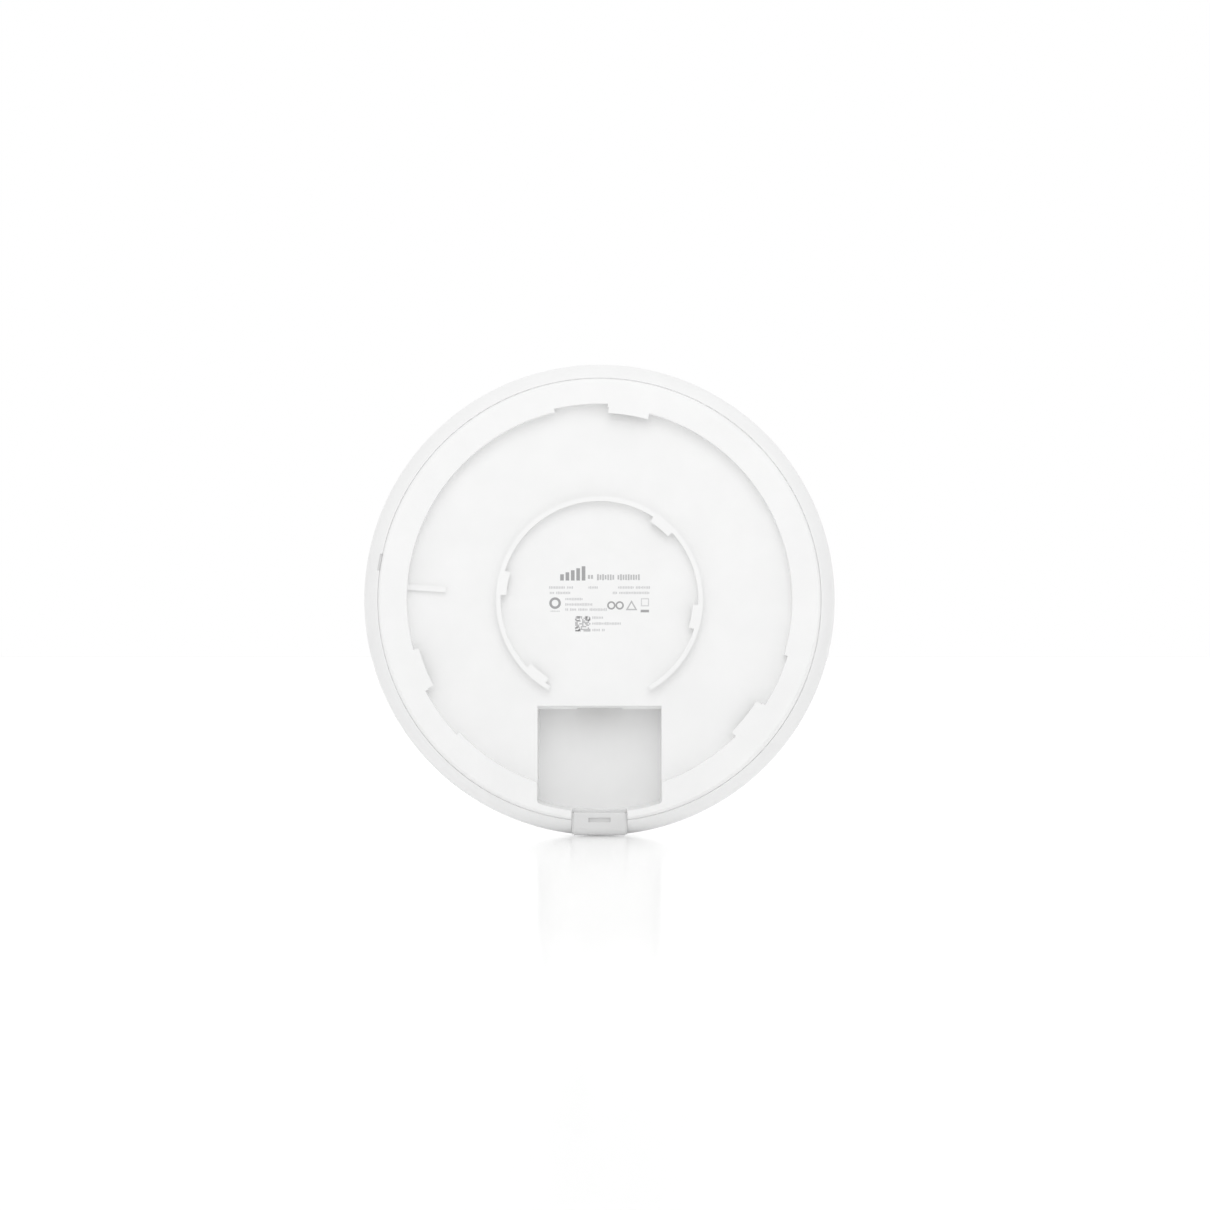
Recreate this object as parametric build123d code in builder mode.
"""Ceiling access point: a round white housing that hangs by its rear face on a bayonet bracket.

The rear face lies in the XZ plane and looks towards -Y, the dome bulges towards +Y, and the cable bay is
at the bottom, as the unit hangs on a wall. A depth is a distance from the rear face, so it is a Y
coordinate. An angle is in degrees, anticlockwise from +X as seen from behind. Sizes are in millimetres.
"""

from build123d import *
from math import cos, radians, sin, sqrt
import os

# Housing
overall_radius = 175.7 / 2
overall_depth = 43.2
widest_depth = 14.5  # the dome is widest here
dome_height = overall_depth - widest_depth
wall = 2.0
rim_radius = 81.6  # outer edge of the flat rear rim
rim_rounding = 1.2
flange_radius = 82.24  # where the rear cover meets the front cover
flange_depth = 3.0
spigot_radius = 81.4  # the part of the rear cover that fits inside the front cover
spigot_depth = 12.0
edge_radius = 82.65  # rear edge of the front cover
edge_depth = 1.6
edge_wall = 0.35
skirt_depth = 4.5  # the front cover's thin edge ends here

# Bracket pocket
pocket_radius = 71.4
pocket_depth = 5.0
bayonet_starts = (75.0, 195.0, 315.0)
lip_radius = 69.3
lip_sweep = 12.3
lip_thickness = 1.6
notch_radius = 72.8
notch_offset = 12.6
notch_sweep = 15.8
backing_radius = 74.8
rib_radii = (36.7, 38.4)
rib_start = -60.5
rib_sweep = 301.0
rib_top = 1.3
tab_radius = 34.6
tab_sweep = 14.2
tab_thickness = 1.5
tab_angles = (-10.0, 50.0, 170.0, 230.0)
lock_rib_angle = 176.2
lock_rib_length = 14.6
lock_rib_width = 2.0
lock_rib_height = 1.4
release_angle = 170.25
release_width = 6.3
release_depths = (0.9, 2.5)
release_notch_radius = 83.1  # end of the slot in the front cover's edge

# Cable bay and its exit
bay_half_width = 23.2
bay_mouth_top = -39.3
bay_top = -40.4
bay_chamfer_depth = 3.0
bay_bottom_radius = 78.8
bay_depth = 20.0
bay_wall = 1.8
bay_draft = 1.5
bay_corner_rounding = 1.6
exit_half_width = 10.3
exit_depth = 9.0
exit_notch_top = -75.8
exit_cover_half_width = 9.5
exit_cover_inside = -79.0
exit_cover_wall = 1.7
exit_cover_depths = (0.8, 2.6)  # of its sloping rear face, at its upper and lower ends
exit_tongue_depth = 11.4
exit_step = 0.3
exit_clearance = 0.1
end_wall = 1.2
hood_depth = 8.6
hood_outside = -87.0
pry_slot = (8.2, 1.7)

# Snap fit, screw posts and board screws
snap_angles = (30.0, 90.0, 150.0, 210.0, 330.0)
snap_sweep = 9.0
hook_depth = 5.0
hook_height = 1.9
lug_depth = 7.2
lug_height = 2.0
post_radius = 62.0
post_angles = (35.0, 145.0, 215.0, 325.0)
post_thickness = 8.0
post_bore_radius = 1.3
screw_radius = 1.27
screw_length = 14.0
screw_hole_radius = 1.5
screw_head_radius = 2.6
screw_head_height = 1.7
screw_recess = (2.6, 0.6, 0.9)  # length, width and depth of the cross
spacer_radius = 2.9

# Status light in the middle of the dome
cap_radius = 27.9
light_radius = 29.45
light_opening = 29.55
cap_rear = 39.2
light_rear = 38.0
light_flange_radius = 31.2
light_flange_thickness = 1.1
light_inner_radius = 26.2
guide_radii = (26.8, 30.6)
guide_rear = 35.8
guide_thickness = 2.1
guide_leg = (3.2, 4.4, 14.0)
leg_radius = 28.7
leg_angles = (45, 135, 225, 315)

# Board stack, from the rear forwards
board_depth = 19.5
board_thickness = 1.6
board_radius = 66.0
board_front = board_depth + board_thickness
board_slot_half_width = 26.0
plate_depth = 24.0
plate_thickness = 1.6
plate_front = plate_depth + plate_thickness
plate_radius = 69.0
plate_opening_radius = 33.0
plate_skirt = 4.6
plate_rounding = 1.0
can_height = 2.3
can_sheet = 0.3

# Network jack and reset button, which both open into the cable bay
jack_half_width = 8.0
jack_depths = (7.5, board_depth)
jack_mouth = bay_top + 0.4
jack_length = 19.0
jack_sheet = 0.3
socket_half_width = 5.95
socket_depths = (9.5, 16.8)
socket_length = 13.0
latch_slot = (6.4, 1.9)
contact_pitch = 1.02
contact_width = 0.44
reset_x = 14.0
reset_depth = 17.7
pin_hole_radius = 1.1
switch_bottom = bay_top + 2.9
switch_size = (6.0, 3.4, 3.6)
plunger_radius = 0.9
plunger_collar_radius = 1.3
plunger_clearance = 0.09

# Antennas
antenna_radius = 50.0
antenna_places = {"upper": 90.0, "left": 210.0, "right": 330.0}
antenna_strip = (6.0, 22.0)
antenna_slot = (2.4, 12.0)
antenna_sheet = 0.4
antenna_riser = (0.4, 14.0, 6.0)
antenna_pin_radius = 0.5
antenna_pin_length = 5.1
carrier_size = (9.0, 26.0)
carrier_thickness = 2.0
contact_hole_radius = 2.2
spring_contact = (3.0, 2.4, 1.6)


def rear_plane(depth):
    """Plane parallel to the rear face, with X to the right and Z up. Extruding by -t goes t deeper."""
    return Plane.XZ.offset(-depth)


def polar(radius, angle):
    """Point on a rear plane."""
    return (radius * cos(radians(angle)), radius * sin(radians(angle)))


def dome_at(radius):
    """Depth of the dome's outside at a radius."""
    return widest_depth + dome_height * sqrt(1 - (radius / overall_radius) ** 2)


def ring_sector(inner, outer, start, sweep):
    """Flat piece of a ring between two radii."""
    with BuildSketch() as sector:
        with BuildLine():
            outer_arc = CenterArc((0, 0), outer, start, sweep)
            inner_arc = CenterArc((0, 0), inner, start, sweep)
            Line(outer_arc @ 0, inner_arc @ 0)
            Line(outer_arc @ 1, inner_arc @ 1)
        make_face()
    return sector.sketch


def bay_outline(margin, bottom_radius):
    """Outline of the cable bay grown by a margin, closed at the bottom by an arc about the centre line."""
    with BuildSketch() as outline:
        with Locations((0, bay_top + margin)):
            Rectangle(2 * (bay_half_width + margin), 2 * board_radius, align=(Align.CENTER, Align.MAX))
        Circle(bottom_radius, mode=Mode.INTERSECT)
    return outline.sketch


def rounded_slab(centre, width, height, depth, thickness, rounding=0.3):
    """Block with a rounded outline, from a depth forwards, centred at (x, z)."""
    with BuildPart() as slab:
        with BuildSketch(rear_plane(depth)):
            with Locations(centre):
                RectangleRounded(width, height, rounding)
        extrude(amount=-thickness)
    return slab.part


def save(part, name):
    """Give a finished piece its name and write it."""
    part.label = name
    export_step(part, "parts/" + name + ".step")


os.makedirs("parts", exist_ok=True)

lips = [ring_sector(lip_radius, pocket_radius + 0.6, start, lip_sweep) for start in bayonet_starts]
undercuts = [ring_sector(lip_radius, notch_radius, start, lip_sweep) for start in bayonet_starts]
notches = [
    ring_sector(lip_radius, notch_radius, start + notch_offset, notch_sweep) for start in bayonet_starts
]
backings = [
    ring_sector(pocket_radius + 1.0, backing_radius, start - 1.5, notch_offset + notch_sweep + 3.0)
    for start in bayonet_starts
]
rib_outline = ring_sector(*rib_radii, rib_start, rib_sweep)
rib_tabs = [
    ring_sector(tab_radius, rib_radii[0] + 0.3, angle - tab_sweep / 2, tab_sweep) for angle in tab_angles
]
bay_inside = bay_outline(0, bay_bottom_radius)
bay_outside = bay_outline(bay_wall, spigot_radius)
post_places = [polar(post_radius, angle) for angle in post_angles]
snap_lugs = [
    ring_sector(spigot_radius - 0.5, spigot_radius + 1.1, angle - snap_sweep / 2, snap_sweep)
    for angle in snap_angles
]
snap_hooks = [
    ring_sector(spigot_radius + 0.5, 84.9, angle - snap_sweep / 2, snap_sweep) for angle in snap_angles
]

# Rear cover: one moulding with the rim, the bracket pocket and the cable bay.
with BuildPart() as rear_cover:
    with BuildSketch():
        with BuildLine():
            Polyline(
                (0, pocket_depth),
                (pocket_radius, pocket_depth),
                (pocket_radius, 0),
                (rim_radius, 0),
                (flange_radius, edge_depth),
                (flange_radius, flange_depth),
                (spigot_radius, flange_depth),
                (spigot_radius, spigot_depth),
                (spigot_radius - wall, spigot_depth),
                (spigot_radius - wall, wall),
                (pocket_radius + wall, wall),
                (pocket_radius + wall, pocket_depth + wall),
                (0, pocket_depth + wall),
                close=True,
            )
        make_face()
        fillet(vertices().sort_by_distance((rim_radius, 0))[0], rim_rounding)
        fillet(vertices().sort_by_distance((pocket_radius, 0))[0], 0.4)
    revolve(axis=Axis.Y)

    # Bayonet lips, flush with the rim, and the thicker wall behind their channels.
    with BuildSketch(rear_plane(0)):
        add(lips)
    extrude(amount=-lip_thickness)
    with BuildSketch(rear_plane(wall / 2)):
        add(backings)
    extrude(amount=-(pocket_depth + wall / 2))
    with BuildSketch(rear_plane(lip_thickness)):
        add(undercuts)
    extrude(amount=-(pocket_depth - lip_thickness), mode=Mode.SUBTRACT)
    with BuildSketch(rear_plane(0)):
        add(notches)
    extrude(amount=-pocket_depth, mode=Mode.SUBTRACT)

    # Centring rib, shaped like a C, with tabs that overhang inwards.
    with BuildSketch(rear_plane(rib_top)):
        add(rib_outline)
    extrude(amount=-(pocket_depth - rib_top + 0.5))
    with BuildSketch(rear_plane(rib_top)):
        add(rib_tabs)
    extrude(amount=-tab_thickness)

    # Low rib that the bracket's locking arm rests against.
    with BuildSketch(rear_plane(pocket_depth - lock_rib_height)):
        with Locations(Location(polar(pocket_radius + 0.3, lock_rib_angle), lock_rib_angle - 180)):
            Rectangle(lock_rib_length, lock_rib_width, align=(Align.MIN, Align.CENTER))
    extrude(amount=-(lock_rib_height + 0.5))

    # Tunnel that leads a release pin from the side wall to the bracket's arm.
    with BuildSketch(rear_plane(wall / 2)):
        with PolarLocations(pocket_radius + 1.0, 1, start_angle=release_angle):
            Rectangle(
                spigot_radius - pocket_radius - 1.6, release_width + 2 * wall, align=(Align.MIN, Align.CENTER)
            )
    extrude(amount=-(release_depths[1] + wall / 2))
    with BuildSketch(rear_plane(release_depths[0])):
        with PolarLocations(pocket_radius - 2.0, 1, start_angle=release_angle):
            Rectangle(20.0, release_width, align=(Align.MIN, Align.CENTER))
    extrude(amount=-(release_depths[1] - release_depths[0]), mode=Mode.SUBTRACT)

    # Cable bay: a deep box that hangs from the pocket floor and from the rim.
    with BuildSketch(rear_plane(pocket_depth)):
        add(bay_outside)
    extrude(amount=-(bay_depth + bay_wall - pocket_depth))
    with BuildSketch(rear_plane(wall / 2)):
        add(bay_outside)
        Circle(pocket_radius + 0.5, mode=Mode.SUBTRACT)
    extrude(amount=-pocket_depth)
    with BuildSketch(rear_plane(0)):
        add(bay_inside)
        fillet(vertices().group_by(Axis.Y)[0], bay_corner_rounding)
    extrude(amount=-bay_depth, taper=bay_draft, mode=Mode.SUBTRACT)

    # Broad chamfer along the top of the bay's mouth.
    with BuildSketch(Plane.YZ):
        Polygon(
            (pocket_depth - 0.5, bay_mouth_top),
            (pocket_depth, bay_mouth_top),
            (pocket_depth + bay_chamfer_depth, bay_top),
            (pocket_depth + bay_chamfer_depth, bay_top - 0.5),
            (pocket_depth - 0.5, bay_top - 0.5),
            align=None,
        )
    extrude(amount=bay_half_width - 0.15, both=True, mode=Mode.SUBTRACT)

    # Notch through the bay's bottom wall, where the cable leaves.
    with BuildSketch(rear_plane(0)):
        with Locations((0, exit_notch_top)):
            Rectangle(2 * exit_half_width, 10.0, align=(Align.CENTER, Align.MAX))
    extrude(amount=-spigot_depth, mode=Mode.SUBTRACT)

    # Windows for the jack and the reset pin in the bay's upper wall.
    with BuildSketch(Plane.XY.offset(bay_top - 2.0)):
        with Locations((0, (jack_depths[0] + jack_depths[1]) / 2)):
            Rectangle(2 * jack_half_width + 0.4, jack_depths[1] - jack_depths[0] + 0.4)
        with Locations((reset_x, reset_depth)):
            Circle(pin_hole_radius)
    extrude(amount=bay_wall + 3.0, mode=Mode.SUBTRACT)

    # Snap lugs outside the spigot and screw posts inside the cover.
    with BuildSketch(rear_plane(lug_depth)):
        add(snap_lugs)
    extrude(amount=-lug_height)
    with BuildSketch(rear_plane(pocket_depth + wall / 2)):
        with Locations(*post_places):
            Circle(post_thickness / 2)
    extrude(amount=-(board_depth - pocket_depth - wall / 2))
    with BuildSketch(rear_plane(board_depth)):
        with Locations(*post_places):
            Circle(post_bore_radius)
    extrude(amount=board_depth - pocket_depth - wall - post_thickness / 2, mode=Mode.SUBTRACT)
save(rear_cover.part, "rear_cover")

# Front cover: a shallow dome that turns in behind its widest circle to meet the rear cover.
with BuildPart() as front_cover:
    with BuildSketch():
        with BuildLine():
            EllipticalCenterArc((0, widest_depth), overall_radius, dome_height, start_angle=0, arc_size=90)
            Line((0, overall_depth), (0, overall_depth - wall))
            EllipticalCenterArc(
                (0, widest_depth), overall_radius - wall, dome_height - wall, start_angle=0, arc_size=90
            )
            TangentArc(
                (overall_radius - wall, widest_depth), (edge_radius - edge_wall, skirt_depth), tangent=(0, -1)
            )
            Polyline(
                (edge_radius - edge_wall, skirt_depth),
                (edge_radius - edge_wall, edge_depth),
                (edge_radius, edge_depth),
            )
            TangentArc((overall_radius, widest_depth), (edge_radius, edge_depth), tangent=(0, -1))
        make_face()
        fillet(vertices().sort_by_distance((edge_radius, edge_depth))[0], 0.2)
    revolve(axis=Axis.Y)
    with BuildSketch(rear_plane(widest_depth)):
        Circle(light_opening)
    extrude(amount=-overall_depth, mode=Mode.SUBTRACT)
    with BuildSketch(rear_plane(hook_depth)):
        add(snap_hooks)
    extrude(amount=-hook_height)
    # Room for the exit cover's hood, and a shallow notch that leads a tool into the release tunnel.
    with BuildSketch(rear_plane(0)):
        with Locations((0, -bay_bottom_radius)):
            Rectangle(2 * exit_half_width, 20.0, align=(Align.CENTER, Align.MAX))
    extrude(amount=-exit_depth, mode=Mode.SUBTRACT)
    with BuildSketch(rear_plane(0)):
        with PolarLocations(spigot_radius, 1, start_angle=release_angle):
            Rectangle(release_notch_radius - spigot_radius, release_width, align=(Align.MIN, Align.CENTER))
    extrude(amount=-release_depths[1], mode=Mode.SUBTRACT)
save(front_cover.part, "front_cover")

# Cable exit cover: a tongue closes the notch in the bay's bottom wall, and a hood carries on over the front
# cover's edge. Its section is drawn with depth across and Z up.
face_end = hood_outside + 2.4
hood_inside = hood_outside + exit_cover_wall
with BuildSketch() as exit_section:
    with BuildLine():
        Polyline(
            (exit_tongue_depth, exit_cover_inside - exit_cover_wall),
            (exit_tongue_depth, exit_cover_inside),
            (exit_cover_depths[0], exit_cover_inside),
            (exit_cover_depths[1], face_end),
        )
        TangentArc(
            (exit_cover_depths[1], face_end),
            (hood_depth, hood_outside),
            tangent=(exit_cover_depths[1] - exit_cover_depths[0], face_end - exit_cover_inside),
        )
        Polyline(
            (hood_depth, hood_outside),
            (hood_depth, hood_inside),
            (exit_cover_depths[1] + 2.8, hood_inside + 0.5),
            (exit_cover_depths[1] + 1.5, face_end + 0.8),
            (exit_cover_depths[0] + 2.2, exit_cover_inside - exit_cover_wall),
            (exit_tongue_depth, exit_cover_inside - exit_cover_wall),
        )
    make_face()
    fillet(vertices().sort_by_distance((exit_cover_depths[0], exit_cover_inside))[0], 0.4)

with BuildPart() as cable_exit_cover:
    with BuildSketch(Plane.YZ):
        add(exit_section.sketch)
    extrude(amount=exit_cover_half_width, both=True)
    # The same section, a step lower, fills the notch from side to side.
    with BuildSketch(Plane.YZ):
        add(exit_section.sketch)
        offset(amount=-exit_step)
    extrude(amount=exit_half_width - exit_clearance, both=True)
    # End walls
    for side in (-1, 1):
        with BuildSketch(Plane.YZ.offset(side * (exit_cover_half_width - end_wall / 2))):
            Polygon(
                (exit_cover_depths[0] + 1.6, exit_cover_inside - 1.5),
                (exit_cover_depths[1] + 0.9, face_end + 0.2),
                (exit_cover_depths[1] + 2.2, hood_inside + 0.1),
                (hood_depth, hood_inside - 0.6),
                (hood_depth, exit_cover_inside - 1.5),
                align=None,
            )
        extrude(amount=end_wall / 2, both=True)
    # Shallow slot for a fingernail or a screwdriver
    with BuildSketch(rear_plane(0)):
        with Locations((0, -rim_radius)):
            Rectangle(*pry_slot)
    extrude(amount=-exit_cover_depths[1], mode=Mode.SUBTRACT)
save(cable_exit_cover.part, "cable_exit_cover")

# Centre cap: the plain disc in the middle of the dome.
with BuildPart() as centre_cap:
    with BuildSketch():
        with BuildLine():
            ThreePointArc(
                (0, overall_depth),
                (cap_radius / 2, dome_at(cap_radius / 2)),
                (cap_radius, dome_at(cap_radius)),
            )
            Polyline(
                (cap_radius, dome_at(cap_radius)),
                (cap_radius, cap_rear),
                (cap_radius - wall, cap_rear),
                (cap_radius - wall, cap_rear + 1.0),
                (0, cap_rear + 1.6),
                (0, overall_depth),
            )
        make_face()
    revolve(axis=Axis.Y)
save(centre_cap.part, "centre_cap")

# Light ring: the diffuser that shows around the cap, held by a flange under the dome.
with BuildPart() as light_ring:
    with BuildSketch():
        with BuildLine():
            Polyline(
                (cap_radius + 0.05, light_rear),
                (cap_radius + 0.05, dome_at(cap_radius) + 0.03),
                (light_radius, dome_at(light_radius) + 0.03),
                (light_radius, light_rear + light_flange_thickness),
                (light_flange_radius, light_rear + light_flange_thickness),
                (light_flange_radius, light_rear),
                close=True,
            )
        make_face()
        with Locations((light_inner_radius, light_rear)):
            Rectangle(
                cap_radius - light_inner_radius + 0.1, light_flange_thickness, align=(Align.MIN, Align.MIN)
            )
    revolve(axis=Axis.Y)
save(light_ring.part, "light_ring")

# Light guide: a clear ring with four legs that collect the light of the status LEDs.
with BuildPart() as light_guide:
    with BuildSketch(rear_plane(guide_rear)):
        Circle(guide_radii[1])
        Circle(guide_radii[0], mode=Mode.SUBTRACT)
    extrude(amount=-guide_thickness)
    with BuildSketch(rear_plane(board_front + 1.0)):
        with PolarLocations(leg_radius, len(leg_angles), start_angle=leg_angles[0]):
            RectangleRounded(guide_leg[0], guide_leg[1], 0.5)
    extrude(amount=-guide_leg[2])
save(light_guide.part, "light_guide")

# Main board: a round circuit board with a slot for the cable bay.
with BuildPart() as main_board:
    with BuildSketch(rear_plane(board_depth)):
        Circle(board_radius)
        with Locations((0, bay_top + bay_wall + 0.3)):
            Rectangle(
                2 * board_slot_half_width, board_radius, align=(Align.CENTER, Align.MAX), mode=Mode.SUBTRACT
            )
        with Locations(*post_places):
            Circle(screw_hole_radius, mode=Mode.SUBTRACT)
    extrude(amount=-board_thickness)
save(main_board.part, "main_board")

# Heat plate: the pressed aluminium disc that spreads the chips' heat and backs the antennas.
with BuildPart() as heat_plate:
    with BuildSketch(rear_plane(plate_depth)):
        Circle(plate_radius)
        Circle(plate_opening_radius, mode=Mode.SUBTRACT)
        with Locations(*post_places):
            Circle(screw_hole_radius, mode=Mode.SUBTRACT)
        with PolarLocations(antenna_radius, 3, start_angle=90):
            Circle(contact_hole_radius, mode=Mode.SUBTRACT)
    extrude(amount=-plate_thickness)
    with BuildSketch(rear_plane(plate_depth)):
        Circle(plate_radius)
        Circle(plate_radius - plate_thickness, mode=Mode.SUBTRACT)
    extrude(amount=-plate_skirt)
    fillet(edges().group_by(Axis.Y)[0].sort_by(SortBy.LENGTH)[-1], plate_rounding)
save(heat_plate.part, "heat_plate")

with BuildPart() as plate_spacers:
    with BuildSketch(rear_plane(board_front)):
        with Locations(*post_places):
            Circle(spacer_radius)
            Circle(screw_hole_radius, mode=Mode.SUBTRACT)
    extrude(amount=-(plate_depth - board_front))
save(plate_spacers.part, "plate_spacers")

# Board screws: pan heads with a cross recess, driven from the front into the posts.
with BuildPart() as board_screws:
    with BuildSketch(rear_plane(plate_front)):
        with Locations(*post_places):
            Circle(screw_head_radius)
    extrude(amount=-screw_head_height)
    fillet(edges().group_by(Axis.Y)[-1], screw_head_height / 2)
    with BuildSketch(rear_plane(plate_front)):
        with Locations(*post_places):
            Circle(screw_radius)
    extrude(amount=screw_length)
    with BuildSketch(rear_plane(plate_front + screw_head_height)):
        with Locations(*post_places):
            Rectangle(screw_recess[0], screw_recess[1])
            Rectangle(screw_recess[1], screw_recess[0])
    extrude(amount=screw_recess[2], mode=Mode.SUBTRACT)
save(board_screws.part, "board_screws")

# Network jack: shield, plastic body with the plug's cavity, and eight spring contacts.
jack_middle = (jack_depths[0] + jack_depths[1]) / 2
jack_height = jack_depths[1] - jack_depths[0]
with BuildPart() as jack_shell:
    with BuildSketch(Plane.XY.offset(jack_mouth)):
        with Locations((0, jack_middle)):
            Rectangle(2 * jack_half_width, jack_height)
            Rectangle(
                2 * (jack_half_width - jack_sheet), jack_height - 2 * jack_sheet, mode=Mode.SUBTRACT
            )
    extrude(amount=jack_length)
    with BuildSketch(Plane.XY.offset(jack_mouth + jack_length)):
        with Locations((0, jack_middle)):
            Rectangle(2 * jack_half_width, jack_height)
    extrude(amount=jack_sheet)
save(jack_shell.part, "jack_shell")

with BuildPart() as jack_insert:
    with BuildSketch(Plane.XY.offset(jack_mouth + 0.2)):
        with Locations((0, jack_middle)):
            Rectangle(2 * (jack_half_width - jack_sheet) - 0.1, jack_height - 2 * jack_sheet - 0.1)
    extrude(amount=jack_length - 0.2)
    with BuildSketch(Plane.XY.offset(jack_mouth)):
        with Locations((0, socket_depths[0])):
            Rectangle(
                2 * socket_half_width, socket_depths[1] - socket_depths[0], align=(Align.CENTER, Align.MIN)
            )
        with Locations((0, socket_depths[1])):
            Rectangle(*latch_slot, align=(Align.CENTER, Align.MIN))
    extrude(amount=socket_length, mode=Mode.SUBTRACT)
save(jack_insert.part, "jack_insert")

with BuildPart() as jack_contacts:
    for index in range(8):
        with BuildSketch(Plane.YZ.offset((index - 3.5) * contact_pitch)):
            Polygon(
                (socket_depths[0], jack_mouth + 3.0),
                (socket_depths[0] + 0.35, jack_mouth + 3.0),
                (socket_depths[0] + 2.7, jack_mouth + 10.6),
                (socket_depths[0] + 2.7, jack_mouth + socket_length),
                (socket_depths[0] + 2.35, jack_mouth + socket_length),
                (socket_depths[0] + 2.35, jack_mouth + 10.7),
                align=None,
            )
        extrude(amount=contact_width / 2, both=True)
save(jack_contacts.part, "jack_contacts")

# Reset switch: a side-pressed switch on the board. Its plunger stands behind the pin hole.
with BuildPart() as reset_switch_body:
    with BuildSketch(rear_plane(board_depth)):
        with Locations((reset_x, switch_bottom)):
            Rectangle(switch_size[0], switch_size[1], align=(Align.CENTER, Align.MIN))
    extrude(amount=switch_size[2])
    with BuildSketch(Plane.XY.offset(switch_bottom)):
        with Locations((reset_x, reset_depth)):
            Circle(plunger_radius + plunger_clearance)
    extrude(amount=0.9, mode=Mode.SUBTRACT)
    with BuildSketch(Plane.XY.offset(switch_bottom + 0.9)):
        with Locations((reset_x, reset_depth)):
            Circle(plunger_collar_radius + plunger_clearance)
    extrude(amount=1.5, mode=Mode.SUBTRACT)
save(reset_switch_body.part, "reset_switch_body")

with BuildPart() as reset_plunger:
    with BuildSketch(Plane.XY.offset(switch_bottom - 0.9)):
        with Locations((reset_x, reset_depth)):
            Circle(plunger_radius)
    extrude(amount=2.0)
    with BuildSketch(Plane.XY.offset(switch_bottom + 1.0)):
        with Locations((reset_x, reset_depth)):
            Circle(plunger_collar_radius)
    extrude(amount=0.8)
save(reset_plunger.part, "reset_plunger")

# Pieces on the board's front side, under shield cans that touch the heat plate through soft pads.
cans = {
    "processor_can": (0, 0, 30.0, 30.0),
    "radio_can_2g": (-42.0, 2.0, 26.0, 30.0),
    "radio_can_5g": (42.0, 2.0, 26.0, 30.0),
}
for can_name, (x, z, width, height) in cans.items():
    with BuildPart() as can:
        with BuildSketch(rear_plane(board_front)):
            with Locations((x, z)):
                RectangleRounded(width, height, 1.0)
        extrude(amount=-can_height)
        with BuildSketch(rear_plane(board_front)):
            with Locations((x, z)):
                RectangleRounded(width - 2 * can_sheet, height - 2 * can_sheet, 1.0 - can_sheet)
        extrude(amount=-(can_height - can_sheet), mode=Mode.SUBTRACT)
    save(can.part, can_name)

with BuildPart() as thermal_pads:
    with BuildSketch(rear_plane(board_front + can_height)):
        with Locations((-42.0, 2.0), (42.0, 2.0)):
            RectangleRounded(20.0, 24.0, 0.5)
    extrude(amount=-(plate_depth - board_front - can_height))
save(thermal_pads.part, "thermal_pads")

front_chips = {
    "processor": [(0, 0, 15.0, 15.0, 1.2)],
    "memory_chips": [(-11.0, 8.6, 6.0, 9.0, 1.0), (11.0, 8.6, 6.0, 9.0, 1.0)],
    "flash_chip": [(0, -11.0, 8.0, 5.0, 1.4)],
    "radio_chip_2g": [(-42.0, 2.0, 9.0, 9.0, 0.9)],
    "radio_chip_5g": [(42.0, 2.0, 10.0, 10.0, 0.9)],
    "status_leds": [(*polar(leg_radius, angle), 2.0, 2.0, 0.8) for angle in leg_angles],
}
for chip_name, places in front_chips.items():
    with BuildPart() as chips:
        for x, z, width, height, thickness in places:
            add(rounded_slab((x, z), width, height, board_front, thickness))
    save(chips.part, chip_name)

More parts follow.
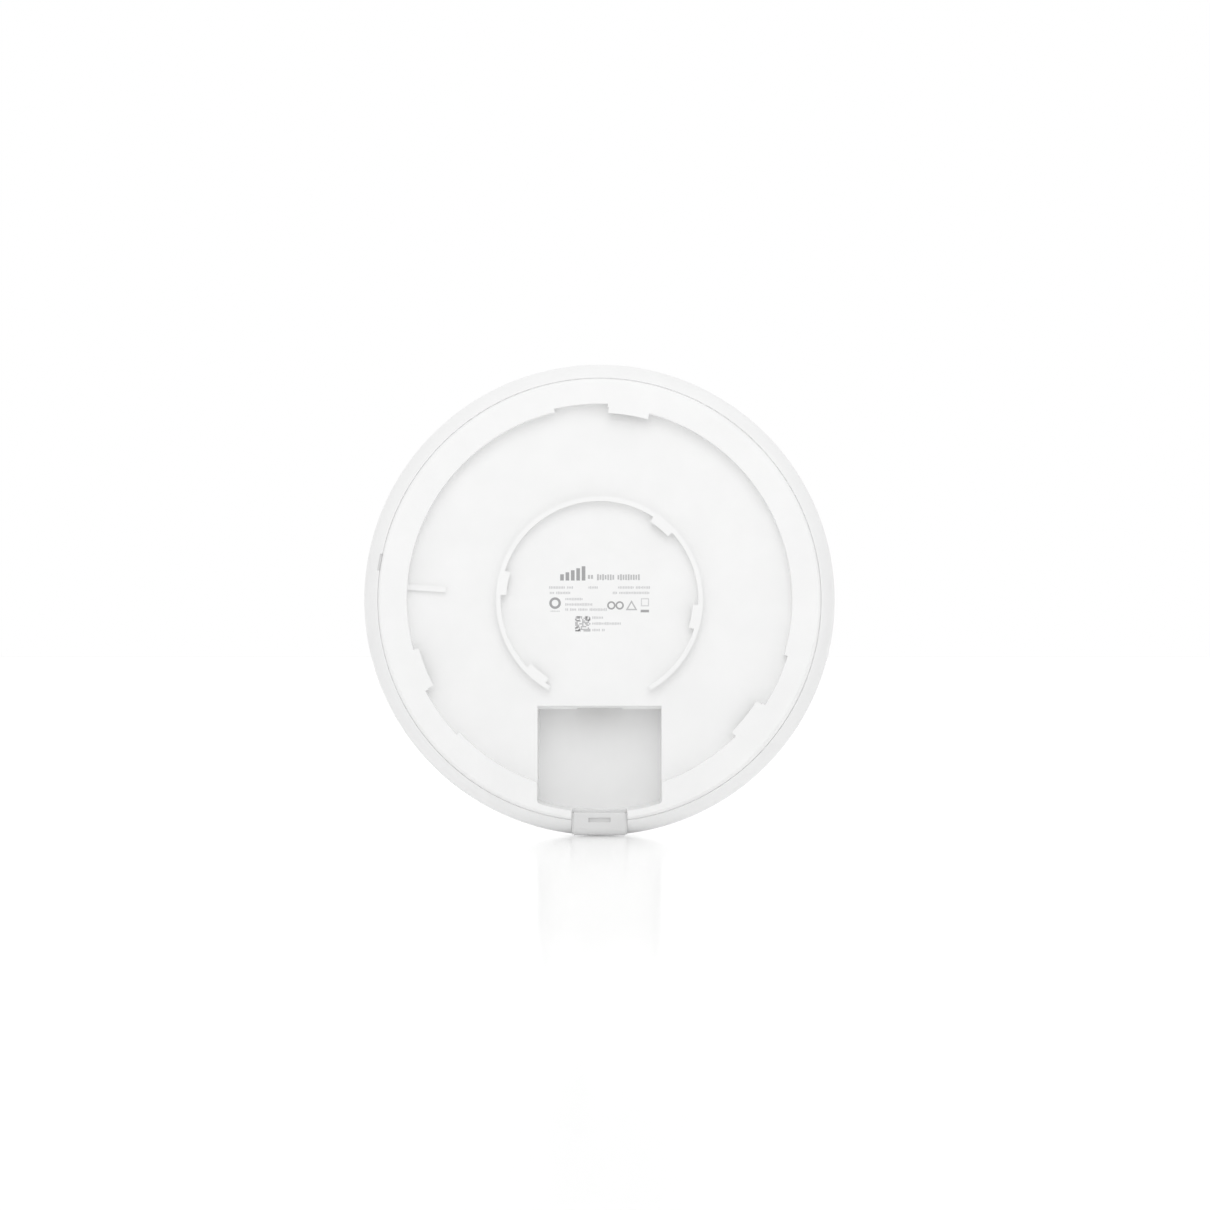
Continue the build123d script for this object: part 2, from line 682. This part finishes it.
# Pieces on the board's rear side, where the power supply and the network side sit.
rear_chips = {
    "ethernet_magnetics": [(0, -8.0, 16.0, 11.0, 6.0)],
    "supply_transformer": [(30.0, -8.0, 15.0, 13.0, 9.0)],
    "bridge_rectifiers": [(24.0, -24.0, 8.0, 6.0, 2.6), (34.0, -24.0, 8.0, 6.0, 2.6)],
    "power_inductors": [(x, z, 7.0, 7.0, 3.2) for x, z in ((-24.0, 10.0), (-24.0, 20.0), (30.0, 10.0))],
    "supply_controller": [(16.0, 6.0, 6.0, 6.0, 0.9)],
    "crystals": [(-12.0, 22.0, 3.2, 2.5, 0.8), (14.0, 22.0, 3.2, 2.5, 0.8)],
}
for chip_name, places in rear_chips.items():
    with BuildPart() as chips:
        for x, z, width, height, thickness in places:
            add(rounded_slab((x, z), width, height, board_depth - thickness, thickness))
    save(chips.part, chip_name)

with BuildPart() as bulk_capacitors:
    with BuildSketch(rear_plane(board_depth)):
        with Locations((-24.0, -8.0), (-34.0, -8.0), (-29.0, -20.0)):
            Circle(4.0)
    extrude(amount=10.0)
    fillet(edges().group_by(Axis.Y)[0], 0.6)
save(bulk_capacitors.part, "bulk_capacitors")

# Antennas: three pressed elements around the plate, each on an insulating carrier over a spring contact.
for place, angle in antenna_places.items():
    with BuildPart() as carrier:
        with BuildSketch(rear_plane(plate_front)):
            with PolarLocations(antenna_radius, 1, start_angle=angle):
                RectangleRounded(*carrier_size, 1.5)
                Circle(2 * antenna_pin_radius, mode=Mode.SUBTRACT)
        extrude(amount=-carrier_thickness)
    save(carrier.part, "antenna_carrier_" + place)

    with BuildPart() as antenna:
        with BuildSketch(rear_plane(plate_front + carrier_thickness)):
            with PolarLocations(antenna_radius, 1, start_angle=angle):
                Rectangle(*antenna_strip)
        extrude(amount=-antenna_sheet)
        riser_depth = plate_front + carrier_thickness + antenna_sheet / 2
        with BuildSketch(rear_plane(riser_depth)):
            with PolarLocations(antenna_radius - antenna_strip[0] / 2 + 0.2, 1, start_angle=angle):
                Rectangle(antenna_riser[0], antenna_riser[1])
        extrude(amount=-antenna_riser[2])
        with BuildSketch(rear_plane(riser_depth + antenna_riser[2] - antenna_sheet)):
            with PolarLocations(antenna_radius, 1, start_angle=angle):
                Rectangle(*antenna_strip)
                Rectangle(*antenna_slot, mode=Mode.SUBTRACT)
        extrude(amount=-antenna_sheet)
        with BuildSketch(rear_plane(riser_depth)):
            with PolarLocations(antenna_radius, 1, start_angle=angle):
                Circle(antenna_pin_radius)
        extrude(amount=antenna_pin_length)
    save(antenna.part, "antenna_" + place)

with BuildPart() as antenna_contacts:
    with BuildSketch(rear_plane(board_front)):
        with PolarLocations(antenna_radius, 3, start_angle=90):
            Rectangle(spring_contact[0], spring_contact[1])
    extrude(amount=-spring_contact[2])
save(antenna_contacts.part, "antenna_contacts")
